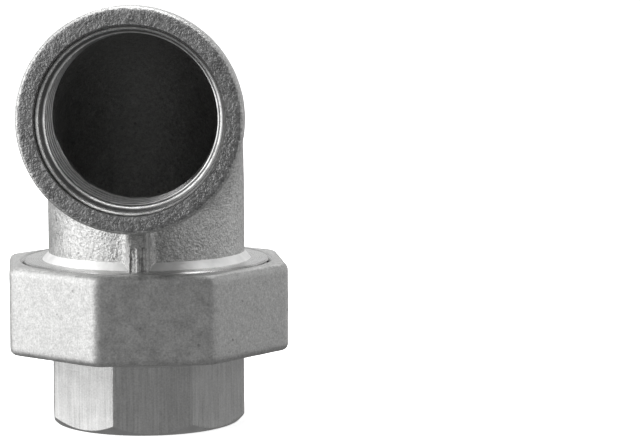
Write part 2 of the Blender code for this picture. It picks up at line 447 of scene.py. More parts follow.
def threaded_plug_tree():
    """A closed plug with a right-hand thread round it, from a grid of columns and helix rows.

    Every thread starts its first turn at height zero, so the two halves of the union are in mesh.
    """
    name = "Threaded plug"
    if name in bpy.data.node_groups:
        return bpy.data.node_groups[name]
    tree = bpy.data.node_groups.new(name, "GeometryNodeTree")
    for labels, kind in (
        (THREAD_MEASURES, "NodeSocketFloat"),
        (THREAD_COUNTS, "NodeSocketInt"),
        (("Finish",), "NodeSocketMaterial"),
    ):
        for label in labels:
            tree.interface.new_socket(label, in_out="INPUT", socket_type=kind)
    tree.interface.new_socket("Plug", in_out="OUTPUT", socket_type="NodeSocketGeometry")
    given = tree.nodes.new("NodeGroupInput").outputs
    nodes = Nodes(tree)
    do, choose, clamp = nodes.do, nodes.choose, nodes.clamp

    first = do("SUBTRACT", do("FLOOR", do("DIVIDE", given["Thread Bottom"], given["Pitch"])), 1)
    turns = do("SUBTRACT", do("DIVIDE", given["Thread Top"], given["Pitch"]), first)
    levels = do("CEIL", do("MULTIPLY", turns, given["Steps"]))
    rows = do("ADD", levels, 2 * PLUG_END_ROWS + 1)
    columns = do("ADD", given["Segments"], 1)
    grid = nodes.new("GeometryNodeMeshGrid", Vertices_X=columns, Vertices_Y=rows)

    index = nodes.new("GeometryNodeInputIndex").outputs["Index"]
    column = do("FLOOR", do("DIVIDE", do("ADD", index, 0.5), rows))
    row = do("SUBTRACT", index, do("MULTIPLY", column, rows))
    level = clamp(do("SUBTRACT", row, PLUG_END_ROWS), 0, levels)
    share = do("DIVIDE", level, given["Steps"])
    round_share = do("DIVIDE", column, given["Segments"])
    free = do("MULTIPLY", do("ADD", do("ADD", first, share), round_share), given["Pitch"])
    height = clamp(free, given["Thread Bottom"], given["Thread Top"])

    # The thread's profile: straight flanks over two thirds of the pitch, rounded at both ends.
    phase = do("FRACT", do("ADD", share, CREST_SHIFT))
    rise = do("SUBTRACT", 1, do("ABSOLUTE", do("MULTIPLY_ADD", phase, 2, -1)))
    flank = clamp(do("MULTIPLY_ADD", rise, FLANK_SLOPE, FLANK_START), 0, 1)
    eased = do("MULTIPLY", do("POWER", flank, 2), do("MULTIPLY_ADD", flank, -2, 3))
    depth = do("MULTIPLY", do("ADD", flank, eased), 0.5)
    into = do("SUBTRACT", height, given["Thread Bottom"])
    out_of = do("SUBTRACT", given["Thread Top"], height)
    cut = choose(depth, given["Minor Radius"], given["Major Radius"])
    cut = do("MULTIPLY_ADD", into, given["Taper"], cut)
    low_share = do("MAXIMUM", do("SUBTRACT", 1, do("DIVIDE", into, given["Run-out Below"])), 0)
    high_share = do("MAXIMUM", do("SUBTRACT", 1, do("DIVIDE", out_of, given["Run-out Above"])), 0)
    radius = choose(low_share, cut, given["Run-out Radius Below"])
    radius = choose(high_share, radius, given["Run-out Radius Above"])

    # The first and last two rows are the plug's ends: a plain ring and its middle.
    below = do("LESS_THAN", row, PLUG_END_ROWS - 0.5)
    above = do("GREATER_THAN", row, do("SUBTRACT", rows, PLUG_END_ROWS + 0.5))
    height = choose(below, height, given["Bottom Height"])
    height = choose(above, height, given["Top Height"])
    radius = choose(below, radius, given["Bottom Radius"])
    radius = choose(above, radius, given["Top Radius"])
    last = do("GREATER_THAN", row, do("SUBTRACT", rows, 1.5))
    middle = do("ADD", do("LESS_THAN", row, 0.5), last)
    radius = do("MULTIPLY", radius, do("SUBTRACT", 1, middle))

    turn = do("MULTIPLY", do("FRACT", round_share), math.tau)
    across = do("MULTIPLY", radius, do("COSINE", turn))
    along = do("MULTIPLY", radius, do("SINE", turn))
    place = nodes.new("ShaderNodeCombineXYZ", X=across, Y=along, Z=height).outputs["Vector"]
    # The groove depth is stored for the thread finish. That finish turns it into painted shade in
    # the grooves and a painted highlight on the crests and the run-out above.
    groove = do("MULTIPLY", depth, do("SUBTRACT", 1, high_share))
    plug = grid.outputs["Mesh"]
    for kind, inputs in (
        ("GeometryNodeSetPosition", {"Position": place}),
        ("GeometryNodeStoreNamedAttribute", {"Name": "groove", "Value": groove}),
        ("GeometryNodeMergeByDistance", {"Distance": MERGE_DISTANCE}),
        ("GeometryNodeRealizeInstances", {}),
        ("GeometryNodeSetMaterial", {"Material": given["Finish"]}),
    ):
        plug = nodes.new(kind, Geometry=plug, **inputs).outputs["Geometry"]
    nodes.new("NodeGroupOutput", Plug=plug)
    return tree


def threaded_plug(name, finish, radii, heights, runs_out, ends, taper=0.0, lengths=None):
    """A plain object of the plug. radii: major, minor; heights: thread bottom, top; runs_out:
    radii below, above; ends: (height, radius) of the lower and upper ring; lengths: how far the
    thread runs out below and above, half a turn unless given."""
    sizes = bpy.context.scene.union_sizes
    lengths = lengths or (sizes.thread_pitch / 2, sizes.thread_pitch / 2)
    tree = threaded_plug_tree()
    measures = (
        *radii,
        sizes.thread_pitch,
        *heights,
        taper,
        *lengths,
        *runs_out,
        *ends[0],
        *ends[1],
    )
    values = dict(zip(THREAD_MEASURES, measures))
    values |= zip(THREAD_COUNTS, (sizes.thread_segments, sizes.thread_steps))
    values["Finish"] = finish
    made = linked_object(name, bpy.data.meshes.new(name))
    modifier = made.modifiers.new("thread", "NODES")
    modifier.node_group = tree
    for item in tree.interface.items_tree:
        if item.in_out == "INPUT":
            modifier[item.identifier] = values[item.name]
    with_modifiers_applied(made)
    made.data.materials.clear()
    made.data.materials.append(finish)
    made.data.polygons.foreach_set("material_index", [0] * len(made.data.polygons))
    return made


# -------- Meshes


def linked_object(name, data):
    """A new object of the scene."""
    made = bpy.data.objects.new(name, data)
    bpy.context.scene.collection.objects.link(made)
    return made


def mesh_object(name, bm, *finishes):
    """A new object of the finished bmesh."""
    mesh = bpy.data.meshes.new(name)
    bm.to_mesh(mesh)
    bm.free()
    for finish in finishes:
        mesh.materials.append(finish)
    return linked_object(name, mesh)


def with_modifiers_applied(made):
    """The object with a plain mesh of its evaluated shape, and no modifiers."""
    bpy.context.view_layer.update()
    evaluated = made.evaluated_get(bpy.context.evaluated_depsgraph_get())
    mesh = bpy.data.meshes.new_from_object(evaluated)
    mesh.name = made.name
    old = made.data
    made.modifiers.clear()
    made.data = mesh
    bpy.data.meshes.remove(old)
    return made


def combine(target, operation, other):
    """Joins or cuts with another closed shape, which is used up. Its faces keep their finish."""
    boolean = target.modifiers.new("boolean", "BOOLEAN")
    boolean.operation = operation
    boolean.object = other
    boolean.solver = "MANIFOLD"
    boolean.material_mode = "TRANSFER"
    before = len(target.data.polygons)
    with_modifiers_applied(target)
    if not len(target.data.polygons) or len(target.data.polygons) == before:
        raise RuntimeError(f"the {operation} of {target.name} with {other.name} did nothing")
    bpy.data.objects.remove(other)
    return target


def placed(made, matrix):
    """The object, with its mesh moved."""
    made.data.transform(matrix)
    return made


def upright(height):
    """The place of a ring on the union axis."""
    return Matrix.Translation((0, 0, height))


def in_bend(turn):
    """The place of a ring in the bend, where turn runs from 0 at its foot to a right angle."""
    centre = (0, BEND_R * (math.cos(turn) - 1), BEND_FOOT + BEND_R * math.sin(turn))
    return Matrix.Translation(centre) @ Matrix.Rotation(turn, 4, "X")


def in_outlet(reach):
    """The place of a ring on the outlet's axis, by its distance from the union axis."""
    return Matrix.Translation((0, -reach, OUTLET_Z)) @ Matrix.Rotation(math.pi / 2, 4, "X")


def circle(bm, radius, height, segments=ROUND_SEGMENTS):
    """A ring of vertices round the Z axis."""
    angles = [math.tau * i / segments for i in range(segments)]
    return [bm.verts.new((radius * math.cos(a), radius * math.sin(a), height)) for a in angles]


def band(bm, lower, upper):
    """The faces between two rings, which look outwards."""
    for i in range(len(lower)):
        j = (i + 1) % len(lower)
        bm.faces.new((lower[i], lower[j], upper[j], upper[i]))


def through_rings(name, finish, sections, segments=ROUND_SEGMENTS, waviness=0.0):
    """A closed solid through rings, each a radius and its place, from the first to the last."""
    bm = bmesh.new()
    rings = []
    for radius, place in sections:
        ring = []
        for i in range(segments):
            angle = math.tau * i / segments
            outwards = Vector((math.cos(angle), math.sin(angle), 0))
            spot = place @ (radius * outwards)
            if waviness:
                wave = radius + waviness * noise.noise(spot / WAVE_SIZE)
                spot = place @ (wave * outwards)
            ring.append(bm.verts.new(spot))
        rings.append(ring)
    bm.faces.new(reversed(rings[0]))
    for lower, upper in zip(rings, rings[1:]):
        band(bm, lower, upper)
    bm.faces.new(rings[-1])
    return mesh_object(name, bm, finish)


def web_bar(name, finish, aside, radius):
    """A thin tapered bar along the foot of the web's front edge."""
    sections = []
    for step in range(WEB_BAR_RINGS):
        turn = WEB_BAR_START + WEB_BAR_STEP * step
        reach = WEB_HEAD_REACH - (WEB_HEAD_REACH - WEB_FOOT_REACH) * math.cos(turn)
        height = COLLAR_TOP + WEB_HEIGHT * math.sin(turn)
        place = Matrix.Translation((aside, -reach, height)) @ Matrix.Rotation(turn, 4, "X")
        sections.append((radius * (1 - WEB_BAR_THINNING * step), place))
    return through_rings(name, finish, sections, WEB_BAR_SEGMENTS)


def turned(name, finish, profile, segments=ROUND_SEGMENTS):
    """A closed solid round the union axis through (radius, height) points."""
    return through_rings(name, finish, [(r, upright(h)) for r, h in profile], segments)


def smooth_max(a, b, reach):
    """The larger of two distances, rounded where they differ by less than reach."""
    share = np.clip(0.5 + 0.5 * (a - b) / reach, 0, 1)
    return b + (a - b) * share + reach * share * (1 - share)


def smooth_min(a, b, reach):
    """The smaller of two distances, rounded where they differ by less than reach."""
    return -smooth_max(-a, -b, reach)


def surface_cells(distance, low, high, cell):
    """Points and faces of the closed surface where a distance is zero, on a grid of cells."""
    counts = [math.ceil((b - a) / cell) + 1 for a, b in zip(low, high)]
    axes = [a + cell * np.arange(n) for a, n in zip(low, counts)]
    inside = distance(*np.meshgrid(*axes, indexing="ij")) < 0

    # A cell that the surface passes through gets one vertex.
    corners = [
        inside[i : counts[0] - 1 + i, j : counts[1] - 1 + j, k : counts[2] - 1 + k]
        for i in (0, 1)
        for j in (0, 1)
        for k in (0, 1)
    ]
    filled = sum(corner.astype(int) for corner in corners)
    crossed = (filled > 0) & (filled < len(corners))
    number = np.full(crossed.shape, -1)
    number[crossed] = np.arange(crossed.sum())
    points = np.array(low) + cell * (np.argwhere(crossed) + 0.5)

    # A grid edge that leaves the solid gets the face between the four cells round it.
    faces = []
    for axis in range(3):
        u, v = (axis + 1) % 3, (axis + 2) % 3
        first = np.take(inside, range(counts[axis] - 1), axis)
        second = np.take(inside, range(1, counts[axis]), axis)
        for leaving, order in ((first & ~second, 1), (~first & second, -1)):
            where = np.argwhere(leaving)
            around = []
            for du, dv in ((1, 1), (0, 1), (0, 0), (1, 0)):
                shift = np.zeros(3, int)
                shift[u], shift[v] = du, dv
                around.append(number[tuple((where - shift).T)])
            faces.append(np.stack(around, 1)[:, ::order])
    return points, np.concatenate(faces)


def onto_surface(points, distance, step):
    """The points, moved along the distance's slope until it is zero."""
    for _ in range(SURFACE_MOVES):
        here = distance(*points.T)
        slope = np.stack(
            [
                (distance(*(points + shift).T) - distance(*(points - shift).T)) / (2 * step)
                for shift in np.eye(3) * step
            ],
            1,
        )
        points = points - slope * (here / np.maximum((slope**2).sum(1), LEAST_SLOPE))[:, None]
    return points


def evened(points, faces):
    """The points, each halfway to the middle of its neighbours."""
    total = np.zeros_like(points)
    count = np.zeros(len(points))
    for a, b in ((0, 1), (1, 2), (2, 3), (3, 0)):
        for one, other in ((faces[:, a], faces[:, b]), (faces[:, b], faces[:, a])):
            np.add.at(total, one, points[other])
            np.add.at(count, one, 1)
    return points * 0.5 + total / count[:, None] * 0.5


def unevenness(point):
    """How far the casting stands in at a point, from broad swells and finer ones."""
    spot = Vector(point)
    return 0.6 * noise.noise(spot / (4 * MM)) + 0.4 * noise.noise(spot / (1.3 * MM)) - 0.6


def skin(name, finish, distance, low, high):
    """The closed cast skin where a distance is zero, with the casting's unevenness."""
    sizes = bpy.context.scene.union_sizes
    cell = sizes.skin_cell
    points, faces = surface_cells(distance, low, high, cell)
    points = onto_surface(points, distance, SLOPE_STEP * cell)
    for _ in range(EVENING_ROUNDS):
        points = onto_surface(evened(points, faces), distance, SLOPE_STEP * cell)
    mesh = bpy.data.meshes.new(name)
    mesh.from_pydata(points.tolist(), [], faces.tolist())
    normals = np.empty(points.size)
    mesh.vertices.foreach_get("normal", normals)
    depths = sizes.skin_waviness * np.array([unevenness(point) for point in points])
    points += normals.reshape(-1, 3) * depths[:, None]
    mesh.vertices.foreach_set("co", points.ravel())
    mesh.materials.append(finish)
    return linked_object(name, mesh)


def finished(made, cast=()):
    """Puts a piece on its place and shades it smooth, with the edges of machined faces sharp."""
    made.data.transform(Matrix.Translation(UNION_AXIS))
    made.data.shade_smooth()
    slots = [slot.material for slot in made.material_slots]
    bm = bmesh.new()
    bm.from_mesh(made.data)
    for edge in bm.edges:
        if len(edge.link_faces) != 2:
            raise RuntimeError(f"{made.name} isn't closed")
        sides = [slots[face.material_index] for face in edge.link_faces]
        edge.smooth = set(sides) <= set(cast) or edge.calc_face_angle(0) < SHARP_ANGLE
    bm.to_mesh(made.data)
    bm.free()
    return made


# -------- Finishes


class Finish(Nodes):
    """A material under construction, with its shader and a few shorthands."""

    def __init__(self, name, roughness, metallic):
        self.material = bpy.data.materials.new(name)
        self.material.use_nodes = True
        super().__init__(self.material.node_tree)
        self.shader = self.tree.nodes["Principled BSDF"]
        self.shader.inputs["Roughness"].default_value = roughness
        self.shader.inputs["Metallic"].default_value = metallic
        self.place = self.new("ShaderNodeTexCoord").outputs["Object"]
        self.bumps = None

    def noise(self, size, detail=2.0, vector=None):
        """Noise between 0 and 1 with features of about the given size."""
        return self.new(
            "ShaderNodeTexNoise", Vector=vector or self.place, Scale=1 / size, Detail=detail
        ).outputs["Fac"]

    def mapped(self, value, low, high, start, end):
        """The value, moved from the range low to high to the range start to end."""
        return self.new(
            "ShaderNodeMapRange",
            Value=value,
            From_Min=low,
            From_Max=high,
            To_Min=start,
            To_Max=end,
        ).outputs["Result"]

    def spread(self, value, start=0.0, end=1.0):
        """A noise's usual span, stretched over the given range."""
        return self.mapped(value, *NOISE_SPAN, start, end)

    def shade(self, colour, factor, dark, light):
        """The colour, darker where the factor is 0 and lighter where it is 1."""
        mix = self.new("ShaderNodeMix")
        mix.data_type = "RGBA"
        self.give(mix.inputs["Factor"], factor)
        self.give(mix.inputs[6], (*(dark * c for c in colour), 1))
        self.give(mix.inputs[7], (*(light * c for c in colour), 1))
        return mix.outputs[2]

    def bump(self, height, depth):
        """Adds relief: height from 0 to 1 stands for the depth in metres."""
        node = self.new("ShaderNodeBump", Height=height, Distance=depth)
        if self.bumps:
            self.give(node.inputs["Normal"], self.bumps)
        self.bumps = node.outputs["Normal"]

    def done(self, colour, roughness):
        """The finished material."""
        self.give(self.shader.inputs["Base Color"], colour)
        self.give(self.shader.inputs["Roughness"], roughness)
        self.give(self.shader.inputs["Normal"], self.bumps)
        return self.material


def cast_steel(name, colour, roughness=0.5, relief=1.0, contrast=0.3):
    """Shot-blasted casting: dimples, slow unevenness and a few pits."""
    finishes = bpy.context.scene.union_finishes
    size, depth = finishes.grain_size, finishes.grain_depth
    made = Finish(name, roughness, 1.0)
    fine = made.noise(size, 2)
    coarse = made.noise(2.2 * size, 2)
    patches = made.noise(2.4 * MM, 2)
    slow = made.noise(9 * MM, 2)
    cells = made.new("ShaderNodeTexVoronoi", Vector=made.place, Scale=1 / (5 * MM))
    pits = made.mapped(cells.outputs["Distance"], 0.02, 0.07, 0.0, 1.0)
    made.bump(slow, 0.12 * MM)
    made.bump(patches, 0.04 * MM)
    made.bump(coarse, 1.6 * depth * relief)
    made.bump(fine, depth * relief)
    made.bump(pits, 0.04 * MM)
    grain = made.do("MULTIPLY_ADD", fine, 0.5, made.do("MULTIPLY", coarse, 0.3))
    tone = made.do("MULTIPLY", made.do("MULTIPLY_ADD", patches, 0.2, grain), pits)
    return made.done(
        made.shade(colour, made.spread(tone), 1 - 1.4 * contrast, 1 + contrast),
        made.spread(patches, roughness - 0.06, roughness + 0.06),
    )


def turned_steel(name, colour, roughness=0.3):
    """Turned faces: fine rings round the union axis."""
    made = Finish(name, roughness, 1.0)
    centre = made.new("ShaderNodeMapping", Vector=made.place)
    centre.vector_type = "TEXTURE"
    centre.inputs["Location"].default_value = UNION_AXIS
    parts = made.new("ShaderNodeSeparateXYZ", Vector=centre.outputs["Vector"]).outputs
    squares = made.do("ADD", made.do("POWER", parts["X"], 2), made.do("POWER", parts["Y"], 2))
    radius = made.do("SQRT", squares)
    across = made.new("ShaderNodeCombineXYZ", X=radius, Y=parts["Z"]).outputs["Vector"]
    rings = made.noise(0.12 * MM, 1, across)
    wide = made.noise(0.6 * MM, 1, across)
    smears = made.noise(3 * MM, 2)
    made.bump(rings, 0.006 * MM)
    made.bump(wide, 0.008 * MM)
    return made.done(
        made.shade(colour, made.spread(smears), 0.88, 1.06),
        made.spread(rings, roughness - 0.05, roughness + 0.05),
    )


def thread_steel(name, colour):
    """Threads cut in a socket. Painted shade darkens the grooves and a painted highlight lightens
    the crests and the mouth's run-out, both with ragged edges. Ragged tool marks are in the relief.
    """
    made = Finish(name, 0.34, 1.0)
    groove = made.new("ShaderNodeAttribute")
    groove.attribute_name = "groove"
    depth = groove.outputs["Fac"]
    marks = made.noise(0.3 * MM, 2)
    ragged = made.noise(1.6 * MM, 2)
    depth = made.do("MULTIPLY_ADD", made.do("SUBTRACT", ragged, 0.5), 0.14, depth)
    made.bump(ragged, 0.05 * MM)
    made.bump(marks, 0.015 * MM)
    # Painted shade in the grooves and painted highlight on the crests, from the stored groove
    # depth.
    return made.done(
        made.shade(colour, made.mapped(depth, 0.03, 0.26, 1.0, 0.0), 0.2, 1.65),
        made.spread(marks, 0.3, 0.42),
    )


def milled_steel(name, colour):
    """Milled flats: faint upright tool marks, fine grain and broad smears."""
    made = Finish(name, 0.36, 1.0)
    drawn = made.new("ShaderNodeMapping", Vector=made.place)
    drawn.inputs["Scale"].default_value = (1, 1, 0.04)
    marks = made.noise(0.35 * MM, 2, drawn.outputs["Vector"])
    grain = made.noise(0.3 * MM, 2)
    smears = made.noise(4 * MM, 2)
    made.bump(smears, 0.04 * MM)
    made.bump(marks, 0.012 * MM)
    made.bump(grain, 0.012 * MM)
    tone = made.do("MULTIPLY_ADD", marks, 0.4, made.do("MULTIPLY", smears, 0.2))
    tone = made.do("MULTIPLY_ADD", grain, 0.4, tone)
    return made.done(
        made.shade(colour, made.spread(tone), 0.72, 1.24),
        made.spread(grain, 0.36, 0.46),
    )


def gasket_plastic(name, colour):
    """Skived PTFE: waxy white, with faint waves and fine grain."""
    made = Finish(name, 0.45, 0.0)
    made.shader.inputs["Subsurface Weight"].default_value = 0.15
    made.shader.inputs["Subsurface Scale"].default_value = 0.5 * MM
    waves = made.noise(1.2 * MM, 2)
    fine = made.noise(0.2 * MM, 2)
    made.bump(waves, 0.02 * MM)
    made.bump(fine, 0.004 * MM)
    return made.done(
        made.shade(colour, made.spread(waves), 0.94, 1.03),
        made.spread(fine, 0.4, 0.52),
    )


def finish_named(name, maker, colour, **settings):
    """The material of that name, made only once."""
    return bpy.data.materials.get(name) or maker(name, colour, **settings)


def turned_upright():
    """The finish of the faces that are turned round the union axis."""
    colour = bpy.context.scene.union_finishes.turned_colour
    return finish_named("Turned steel, union axis", turned_steel, colour)


def cone_painted_highlight():
    """The finish of the turned cone, lightened by a painted highlight."""
    colour = bpy.context.scene.union_finishes.cone_highlight_colour
    return finish_named("Bright turned cone", turned_steel, colour, roughness=0.5)


def cut_thread():
    """The finish of both sockets, whose threads carry painted shade and painted highlight."""
    colour = bpy.context.scene.union_finishes.turned_colour
    return finish_named("Cut thread", thread_steel, colour)


# -------- Pieces


def elbow_distance(x, y, z):
    """Distance to the casting's outside, round the union axis: tube, bend, band and web."""
    sizes = bpy.context.scene.union_sizes
    tube = sizes.tube_radius
    reach = -y
    foot = np.maximum(
        np.hypot(x, y) - tube, np.maximum(z - BEND_FOOT, COLLAR_TOP - REACH_PAST - z)
    )
    middle = OUTLET_REACH - BAND_WIDTH / 2
    outlet_r = np.hypot(x, z - OUTLET_Z)
    neck = np.maximum(outlet_r - tube, np.maximum(BEND_R - reach, reach - middle))
    around = np.hypot(y + BEND_R, z - BEND_FOOT)
    bend = np.maximum(
        np.hypot(x, around - BEND_R) - tube, np.maximum(BEND_FOOT - z, reach - BEND_R)
    )
    casting = np.minimum(smooth_min(foot, neck, THROAT_FILLET), bend)

    width = WEB_HEAD_REACH - WEB_FOOT_REACH
    hollow = 1 - np.hypot(
        np.maximum(WEB_HEAD_REACH - reach, 0) / width,
        np.maximum(z - COLLAR_TOP, 0) / WEB_HEIGHT,
    )
    web = smooth_max(np.abs(x) - sizes.web_width / 2, hollow * width, WEB_ROUNDING)
    too_high = np.abs(z - WEB_MIDDLE_HEIGHT) - WEB_HALF_HEIGHT
    too_far = np.abs(reach - WEB_MIDDLE_REACH) - WEB_HALF_REACH
    web = np.maximum(web, np.maximum(too_high, too_far))
    casting = smooth_min(casting, web, WEB_FILLET)

    band_ends = np.abs(reach - middle) - BAND_WIDTH / 2
    band_skin = smooth_max(outlet_r - sizes.band_radius, band_ends, sizes.band_rounding)
    return smooth_min(casting, band_skin, BAND_FILLET)


def nut_distance(x, y, z):
    """Distance to the nut's outside: an octagonal prism with softened edges."""
    sizes = bpy.context.scene.union_sizes
    half_width = sizes.nut_corner_radius * math.cos(EIGHTH_TURN / 2)
    sides = None
    for i in range(4):
        turn = OCTAGON_TURN + EIGHTH_TURN * (i + 0.5)
        side = np.abs(x * math.cos(turn) + y * math.sin(turn)) - half_width
        sides = side if sides is None else smooth_max(sides, side, NUT_CORNER_ROUNDING)
    middle, half_height = (NUT_TOP + NUT_BOTTOM) / 2, (NUT_TOP - NUT_BOTTOM) / 2
    return smooth_max(sides, np.abs(z - middle) - half_height, sizes.nut_rounding)


def elbow_casting(cast, rough):
    """The elbow's cast outside, with its rough end face and the mark on it."""
    sizes = bpy.context.scene.union_sizes
    side = sizes.band_radius + REACH_PAST
    casting = skin(
        "cast_elbow",
        cast,
        elbow_distance,
        (-side, -OUTLET_REACH - REACH_PAST, COLLAR_TOP - 2 * REACH_PAST),
        (side, side, OUTLET_Z + side),
    )
    casting.data.materials.append(rough)
    for polygon in casting.data.polygons:
        on_end = polygon.center.y < END_FACE_DEPTH - OUTLET_REACH
        if on_end and polygon.normal.y < END_FACE_NORMAL:
            polygon.material_index = 1
    mark = turned("mark", rough, MARK_PROFILE, MARK_SEGMENTS)
    placed(mark, in_outlet(OUTLET_REACH) @ Matrix.Translation(MARK_PLACE))
    combine(casting, "UNION", mark)
    combine(casting, "DIFFERENCE", web_bar("left hollow", cast, *LEFT_HOLLOW))
    combine(casting, "DIFFERENCE", web_bar("right hollow", cast, *RIGHT_HOLLOW))
    combine(casting, "UNION", web_bar("ridge", cast, *RIDGE))
    return casting


def elbow_cone():
    """The cone from the collar to the foot of the tube, in turned steel with a painted highlight.
    """
    tube = bpy.context.scene.union_sizes.tube_radius
    profile = (
        (CONE_R - REACH_PAST, COLLAR_TOP - 2 * REACH_PAST),
        (CONE_R, COLLAR_TOP - CONE_FOOT),
        (CONE_R, COLLAR_TOP),
        (tube - INSET, COLLAR_TOP + CONE_HEIGHT),
        (tube - REACH_PAST, COLLAR_TOP + CONE_HEIGHT),
    )
    return turned("cone", cone_painted_highlight(), profile)


def elbow_collar():
    """The collar with the union's male thread, from the seat up."""
    chamfer = COLLAR_CHAMFER
    return threaded_plug(
        "collar",
        turned_upright(),
        radii=(UNION_MAJOR_R, UNION_MINOR_R),
        heights=(ELBOW_SEAT + chamfer, COLLAR_TOP - chamfer),
        runs_out=(UNION_MINOR_R, UNION_MAJOR_R),
        ends=((ELBOW_SEAT, UNION_MINOR_R - chamfer), (COLLAR_TOP, UNION_MAJOR_R - chamfer)),
    )


def elbow_waterway(inside):
    """The cutter of the bent waterway, from the seat to the end of the socket."""
    low = ELBOW_SEAT - REACH_PAST
    rise = [low + (BEND_FOOT - low) * i / RISE_STEPS for i in range(RISE_STEPS)]
    places = [upright(height) for height in rise]
    places += [in_bend(math.pi / 2 * i / BEND_STEPS) for i in range(BEND_STEPS + 1)]
    places.append(in_outlet(OUTLET_REACH - SOCKET_DEPTH - SHORT_REACH_PAST))
    rings = [(WATERWAY_R, place) for place in places]
    return through_rings("waterway", inside, rings, waviness=WATERWAY_WAVINESS)


def outlet_socket():
    """The cutter of the outlet's tapered thread and its mouth."""
    low = OUTLET_REACH - SOCKET_DEPTH
    socket = threaded_plug(
        "outlet socket",
        cut_thread(),
        radii=(PIPE_MAJOR_R, PIPE_MINOR_R),
        heights=(low, OUTLET_REACH),
        runs_out=(PIPE_MAJOR_R, PIPE_MAJOR_R + MOUTH_CHAMFER),
        ends=(
            (low - MOUTH_CHAMFER, WATERWAY_R - INSET),
            (OUTLET_REACH + MOUTH_CHAMFER, PIPE_MAJOR_R + 2 * MOUTH_CHAMFER),
        ),
        taper=PIPE_TAPER,
        lengths=(bpy.context.scene.union_sizes.thread_pitch / 2, LEAD_IN),
    )
    return placed(socket, in_outlet(0))


class UNION_OT_elbow_body(bpy.types.Operator):
    """Makes the elbow body: cast skin, machined collar with its thread, waterway and socket"""

    bl_idname = "union.elbow_body"
    bl_label = "Elbow body"

    def execute(self, context):
        finishes = context.scene.union_finishes
        cast = finish_named(
            "Shot-blasted cast steel",
            cast_steel,
            finishes.cast_colour,
            roughness=0.5,
            relief=2.3,
            contrast=0.4,
        )
        rough = finish_named(
            "Rough outlet face",
            cast_steel,
            finishes.face_colour,
            roughness=0.5,
            relief=3.8,
            contrast=0.45,
        )
        inside = finish_named(
            "As-cast inside", cast_steel, finishes.inside_colour, roughness=0.6, relief=2.0
        )
        body = elbow_casting(cast, rough)
        combine(body, "UNION", elbow_cone())
        combine(body, "UNION", elbow_collar())
        combine(body, "DIFFERENCE", elbow_waterway(inside))
        combine(body, "DIFFERENCE", outlet_socket())
        finished(body, (cast, rough))
        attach(body, "elbow")
        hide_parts("elbow_body")
        return {"FINISHED"}


class UNION_OT_union_nut(bpy.types.Operator):
    """Makes the union nut: cast octagon with its machined lip, relief and thread"""

    bl_idname = "union.union_nut"
    bl_label = "Union nut"

    def execute(self, context):
        sizes, finishes = context.scene.union_sizes, context.scene.union_finishes
        cast = finish_named(
            "Shot-blasted cast nut",
            cast_steel,
            finishes.nut_colour,
            roughness=0.54,
            relief=0.35,
            contrast=0.26,
        )
        side = sizes.nut_corner_radius + REACH_PAST
        nut = skin(
            "octagon_nut",
            cast,
            nut_distance,
            (-side, -side, NUT_BOTTOM - REACH_PAST),
            (side, side, NUT_TOP + REACH_PAST),
        )
        seat = NUT_BOTTOM + NUT_LIP
        lip_profile = (
            (NUT_LIP_R + NUT_LIP_EDGE + REACH_PAST, NUT_BOTTOM - REACH_PAST),
            (NUT_LIP_R, NUT_BOTTOM + NUT_LIP_EDGE),
            (NUT_LIP_R, seat + SHORT_REACH_PAST),
        )
        lip = turned("lip", turned_upright(), lip_profile)
        major, minor = UNION_MAJOR_R + UNION_CLEARANCE, UNION_MINOR_R + UNION_CLEARANCE
        chamfer = NUT_MOUTH_CHAMFER
        bore = threaded_plug(
            "nut bore",
            turned_upright(),
            radii=(major, minor),
            heights=(seat + NUT_RELIEF, NUT_TOP - chamfer),
            runs_out=(major, major),
            ends=((seat, major), (NUT_TOP + chamfer, major + 2 * chamfer)),
        )
        combine(nut, "DIFFERENCE", lip)
        combine(nut, "DIFFERENCE", bore)
        finished(nut, (cast,))
        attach(nut, "nut")
        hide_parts("union_nut")
        return {"FINISHED"}


def octagonal_tail(milled, turned_finish):
    """The tailpiece's outside as a closed solid, with its cone chamfer meeting the flats."""
    collar_bottom = TAIL_SEAT - TAIL_COLLAR
    half_width = TAIL_CORNER_R * math.cos(EIGHTH_TURN / 2)
    slope = TAIL_CHAMFER_RISE / (TAIL_CORNER_R - TAIL_FACE_R)
    bm = bmesh.new()
    columns = []
    for i in range(ROUND_SEGMENTS):
        turn = math.tau * i / ROUND_SEGMENTS
        from_middle = turn % EIGHTH_TURN - EIGHTH_TURN / 2
        angle = OCTAGON_TURN + turn
        flat_r = half_width / math.cos(from_middle)
        profile = (
            (TAIL_FACE_R, 0),
            (flat_r, (flat_r - TAIL_FACE_R) * slope),
            (flat_r, TAIL_OCTAGON_TOP),
            (TAIL_SHOULDER_R, TAIL_OCTAGON_TOP),
            (TAIL_SHOULDER_R, collar_bottom),
            (TAIL_COLLAR_R, collar_bottom),
            (TAIL_COLLAR_R, TAIL_SEAT),
        )
        columns.append(
            [bm.verts.new((r * math.cos(angle), r * math.sin(angle), h)) for r, h in profile]
        )
    rings = list(zip(*columns))
    for lower, upper in zip(rings, rings[1:]):
        band(bm, lower, upper)
    bm.faces.new(reversed(rings[0]))
    bm.faces.new(rings[-1])
    bm.faces.ensure_lookup_table()
    for k, face in enumerate(bm.faces):
        on_flats = k // ROUND_SEGMENTS == 1
        face.material_index = 0 if on_flats else 1
    tail = mesh_object("threaded_tailpiece", bm, milled, turned_finish)
    soften = tail.modifiers.new("edges", "BEVEL")
    soften.width = TAIL_EDGE
    soften.segments = 2
    soften.limit_method = "ANGLE"
    soften.angle_limit = SHARP_ANGLE
    return with_modifiers_applied(tail)


